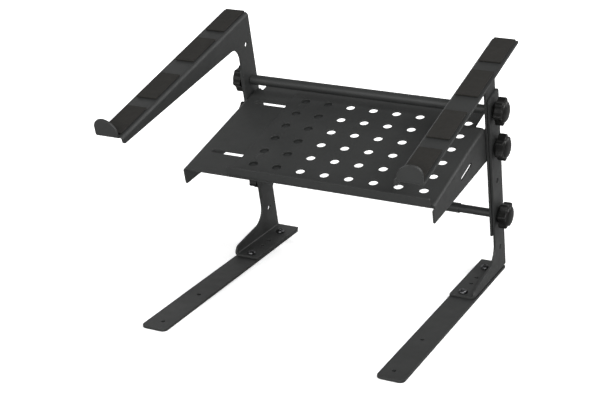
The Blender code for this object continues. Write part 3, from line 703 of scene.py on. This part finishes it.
# Star knobs
# Three knobs a side clamp the frame: the lower and upper ones on the crossbars, the middle ones on
# the tray ears. Each is a moulded six-lobed grip with a domed cap, on a stud of threaded steel.
def make_plastic():
    """Moulded black plastic with a soft gloss and a faint flow unevenness."""
    made, tree, shader, place = start_material("knob_plastic")
    tree.links.new(mottle(tree, place, 200, (0.0045, 0.0045, 0.0043), (0.0075, 0.0075, 0.0070)),
                   shader.inputs["Base Color"])
    tree.links.new(mottle(tree, place, 300, 0.34, 0.44), shader.inputs["Roughness"])
    shader.inputs["Specular IOR Level"].default_value = 0.28
    skin = add_node(tree, "ShaderNodeTexNoise", Vector=place, Scale=900.0, Detail=2.0)
    add_bump(tree, shader, skin.outputs["Fac"], 0.12, 0.00008)
    return made


plastic = make_plastic()
KNOB = 0.0312                     # across two opposite lobes
KNOB_LOBES = 6
KNOB_WAIST = 0.0031               # depth of the hollow between two lobes
KNOB_HOLLOW = 1.6                 # more than 1 makes the hollows wider than the lobes
KNOB_GRIP = (0.0028, 0.0124)      # the grip's back and front, out from the bolted face
# Inset of each point of the grip's rims, and its distance from that face.
KNOB_BACK_RIM = ((0.0012, 0), (0.0004, 0.0003), (0, 0.0011))
KNOB_FRONT_RIM = ((0, 0.0013), (0.0004, 0.0004), (0.0012, 0))
KNOB_HUB = 0.0090                 # radius, as the cap's and the dome's are
KNOB_HUB_EASE = 0.0004
KNOB_BORE = 0.0055                # depth past the grip's back
KNOB_CAP = 0.0118
KNOB_DOME = 0.0116
KNOB_DOME_LOW = 0.0001            # above the grip's front
KNOB_TOP = 0.0162
KNOB_TURNS = (("upper", 0), ("tray", 15), ("lower", 40))  # degrees that each stands turned by
KNOB_POINTS = 120
DOME_STEPS = 9


def star_ring(inset, height):
    """Ring of the lobed grip, moved in from its widest outline."""
    points = []
    for step in range(KNOB_POINTS):
        angle = 2 * math.pi * step / KNOB_POINTS
        wave = (1 + math.cos(KNOB_LOBES * angle)) / 2
        radius = KNOB / 2 - inset - KNOB_WAIST * (1 - wave ** KNOB_HOLLOW)
        points.append(Vector((radius * math.cos(angle), radius * math.sin(angle), height)))
    return points


def knob_rings(profile):
    """Round rings of a knob through (radius, height) points."""
    return [ring(radius, height, KNOB_POINTS) for radius, height in profile]


def make_knob():
    """Knob from its bore, round the hub and the grip, to the crown of its cap. Its +Z points outwards."""
    low, high = KNOB_GRIP
    hole = BOLT_HOLE / 2
    rings = knob_rings([(0, low + KNOB_BORE), (hole, low + KNOB_BORE), (hole, GAP),
                        (KNOB_HUB - KNOB_HUB_EASE, GAP), (KNOB_HUB, GAP + KNOB_HUB_EASE),
                        (KNOB_HUB, low - KNOB_HUB_EASE), (KNOB_HUB + KNOB_HUB_EASE, low)])
    rings += [star_ring(inset, low + rise) for inset, rise in KNOB_BACK_RIM]
    rings += [star_ring(inset, high - drop) for inset, drop in KNOB_FRONT_RIM]
    dome_low = high + KNOB_DOME_LOW
    dome_high = KNOB_TOP - dome_low
    angles = [step / DOME_STEPS * math.pi / 2 for step in range(DOME_STEPS)]
    rings += knob_rings([(KNOB_CAP, high)])
    rings += knob_rings([(KNOB_DOME * math.cos(angle), dome_low + dome_high * math.sin(angle))
                         for angle in angles])
    rings += knob_rings([(0, KNOB_TOP)])
    return lofted(rings)


for side, sign in SIDES:
    # The knob's own +Z points outwards, and its +Y up the lean.
    outward = Matrix(((0, 0, sign, 0), (sign, 0, 0, 0), (0, 1, 0, 0), (0, 0, 0, 1)))
    for label, turn in KNOB_TURNS:
        pivot = joint_point(f"{side}_{label}_knob_turn")
        place = (Matrix.Translation(pivot) @ Matrix.Rotation(lean, 4, "X") @ outward
                 @ Matrix.Rotation(math.radians(turn), 4, "Z"))
        finish_piece(make_knob(), f"{side}_{label}_star", place, plastic,
                     f"{side}_{label}_knob", f"{side}_{label}_knob")
        stud = frame["nodes"][f"{side}_{label}_stud"]
        stud.data.materials.clear()
        stud.data.materials.append(zinc)


# Studio
# A pale seamless floor, a soft box high on the right, two broad ones in front and three weaker ones
# behind. The backdrop is white to the camera, and lights the object only faintly.
def make_floor():
    """White paper, a middle grey to all but the camera. It glows softly, and fully away from the object."""
    made, tree, shader, place = start_material("floor_paper")
    seen = tree.nodes.new("ShaderNodeLightPath").outputs["Is Camera Ray"]
    paper = add_node(tree, "ShaderNodeMix", {"data_type": "RGBA"})
    tree.links.new(seen, paper.inputs[0])
    paper.inputs[6].default_value = (0.42, 0.42, 0.42, 1)
    tree.links.new(mottle(tree, place, 40, (0.93, 0.93, 0.93), (0.95, 0.95, 0.95)), paper.inputs[7])
    tree.links.new(paper.outputs[2], shader.inputs["Base Color"])
    shader.inputs["Roughness"].default_value = 0.9
    far = add_node(tree, "ShaderNodeVectorMath", {"operation": "LENGTH"})
    tree.links.new(place, far.inputs[0])
    glow = add_node(tree, "ShaderNodeMapRange", Value=far.outputs["Value"], From_Min=0.3, From_Max=1.0,
                    To_Min=0.50, To_Max=1.0)
    seen_glow = add_node(tree, "ShaderNodeMath", {"operation": "MULTIPLY"})
    tree.links.new(glow.outputs["Result"], seen_glow.inputs[0])
    tree.links.new(seen, seen_glow.inputs[1])
    shader.inputs["Emission Color"].default_value = (1, 1, 1, 1)
    tree.links.new(seen_glow.outputs["Value"], shader.inputs["Emission Strength"])
    return made


FLOOR_SIZE = 12.0
FLOOR_LEVEL = -0.0004             # just under the bars
floor_mesh = bpy.data.meshes.new("floor")
paper_sheet = bmesh.new()
bmesh.ops.create_grid(paper_sheet, x_segments=1, y_segments=1, size=FLOOR_SIZE / 2)
paper_sheet.to_mesh(floor_mesh)
paper_sheet.free()
floor_mesh.materials.append(make_floor())
floor = bpy.data.objects.new("floor", floor_mesh)
scene.collection.objects.link(floor)
floor.location.z = FLOOR_LEVEL

LAMP_AIM = Vector((0, 0, 0.15))


def add_lamp(name, place, size, power):
    """Square soft box that faces the object."""
    light = bpy.data.lights.new(name, "AREA")
    light.size = size
    light.energy = power
    holder = bpy.data.objects.new(name, light)
    scene.collection.objects.link(holder)
    holder.location = place
    holder.rotation_euler = (LAMP_AIM - Vector(place)).to_track_quat("-Z", "Y").to_euler()


add_lamp("key", (1.3, 0.0, 1.7), 0.5, 22)
add_lamp("front", (0.6, -2.3, 0.9), 1.6, 51)
add_lamp("left_fill", (-1.6, -2.0, 0.9), 1.6, 17)
add_lamp("behind", (-0.8, 1.9, 0.75), 1.6, 2)
add_lamp("back_left", (-2.3, 1.3, 1.0), 1.6, 12)
add_lamp("back_right", (1.6, 2.0, 1.3), 1.6, 20)

world = bpy.data.worlds.new("white_surround")
world.use_nodes = True
tree = world.node_tree
faint = tree.nodes["Background"]
faint.inputs["Color"].default_value = (1, 1, 1, 1)
faint.inputs["Strength"].default_value = 0.18
white = add_node(tree, "ShaderNodeBackground", Color=(1, 1, 1, 1), Strength=1.0)
path = tree.nodes.new("ShaderNodeLightPath")
choice = tree.nodes.new("ShaderNodeMixShader")
tree.links.new(path.outputs["Is Camera Ray"], choice.inputs[0])
tree.links.new(faint.outputs[0], choice.inputs[1])
tree.links.new(white.outputs[0], choice.inputs[2])
tree.links.new(choice.outputs[0], tree.nodes["World Output"].inputs["Surface"])
scene.world = world
scene.view_settings.view_transform = "Standard"


# Camera
# A long lens in front, to the right and a little above, as the object is pictured.
CAMERA_AT = (0.59038, -1.28895, 0.64218)
CAMERA_DOWN = 20.2226             # degrees
CAMERA_TURN = 25.4559
SENSOR_WIDTH = 36.0               # millimetres
FOCAL_LENGTH = 81.640
lens = bpy.data.cameras.new("camera")
lens.sensor_width = SENSOR_WIDTH
lens.lens = FOCAL_LENGTH
camera = bpy.data.objects.new("camera", lens)
scene.collection.objects.link(camera)
camera.location = CAMERA_AT
camera.rotation_euler = (math.radians(90 - CAMERA_DOWN), 0, math.radians(CAMERA_TURN))
scene.camera = camera
